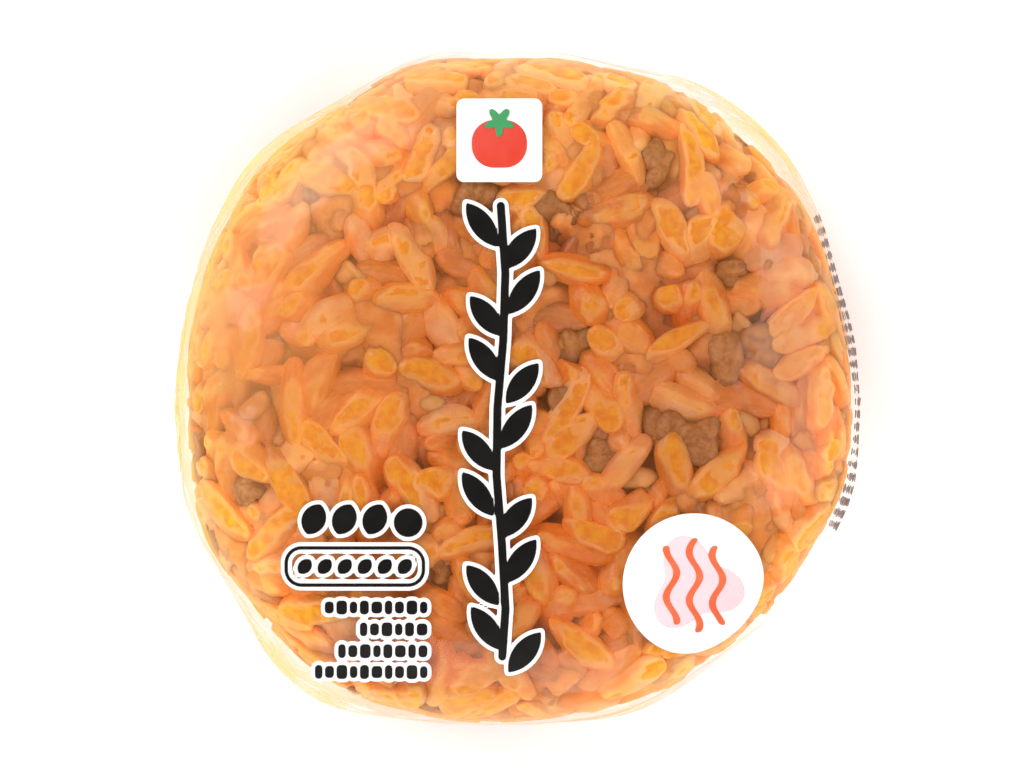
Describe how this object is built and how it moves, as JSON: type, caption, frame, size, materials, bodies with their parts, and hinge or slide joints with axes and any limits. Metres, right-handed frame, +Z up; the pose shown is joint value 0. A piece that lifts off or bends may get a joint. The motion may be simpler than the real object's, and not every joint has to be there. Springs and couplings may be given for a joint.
{
  "type": "wrapped rice ball",
  "caption": "Round ketchup rice ball pressed into a thick puck, sealed in clear film, with a round white label on the shoulder of its face.",
  "frame": {"origin": "on the surface the pack lies on, below the middle of its bounding box", "axes": "+Z up through the printed face, +X to the right of that face and +Y to its top"},
  "size_m": [0.0732, 0.0722, 0.0359],
  "materials": {
    "ketchup_rice": "moist orange rice under clear glossy film",
    "label_paper": "smooth white label with orange marks"
  },
  "bodies": {
    "root": {"wrapped_rice_ball": "ketchup_rice", "round_label": "label_paper"}
  },
  "joints": []
}
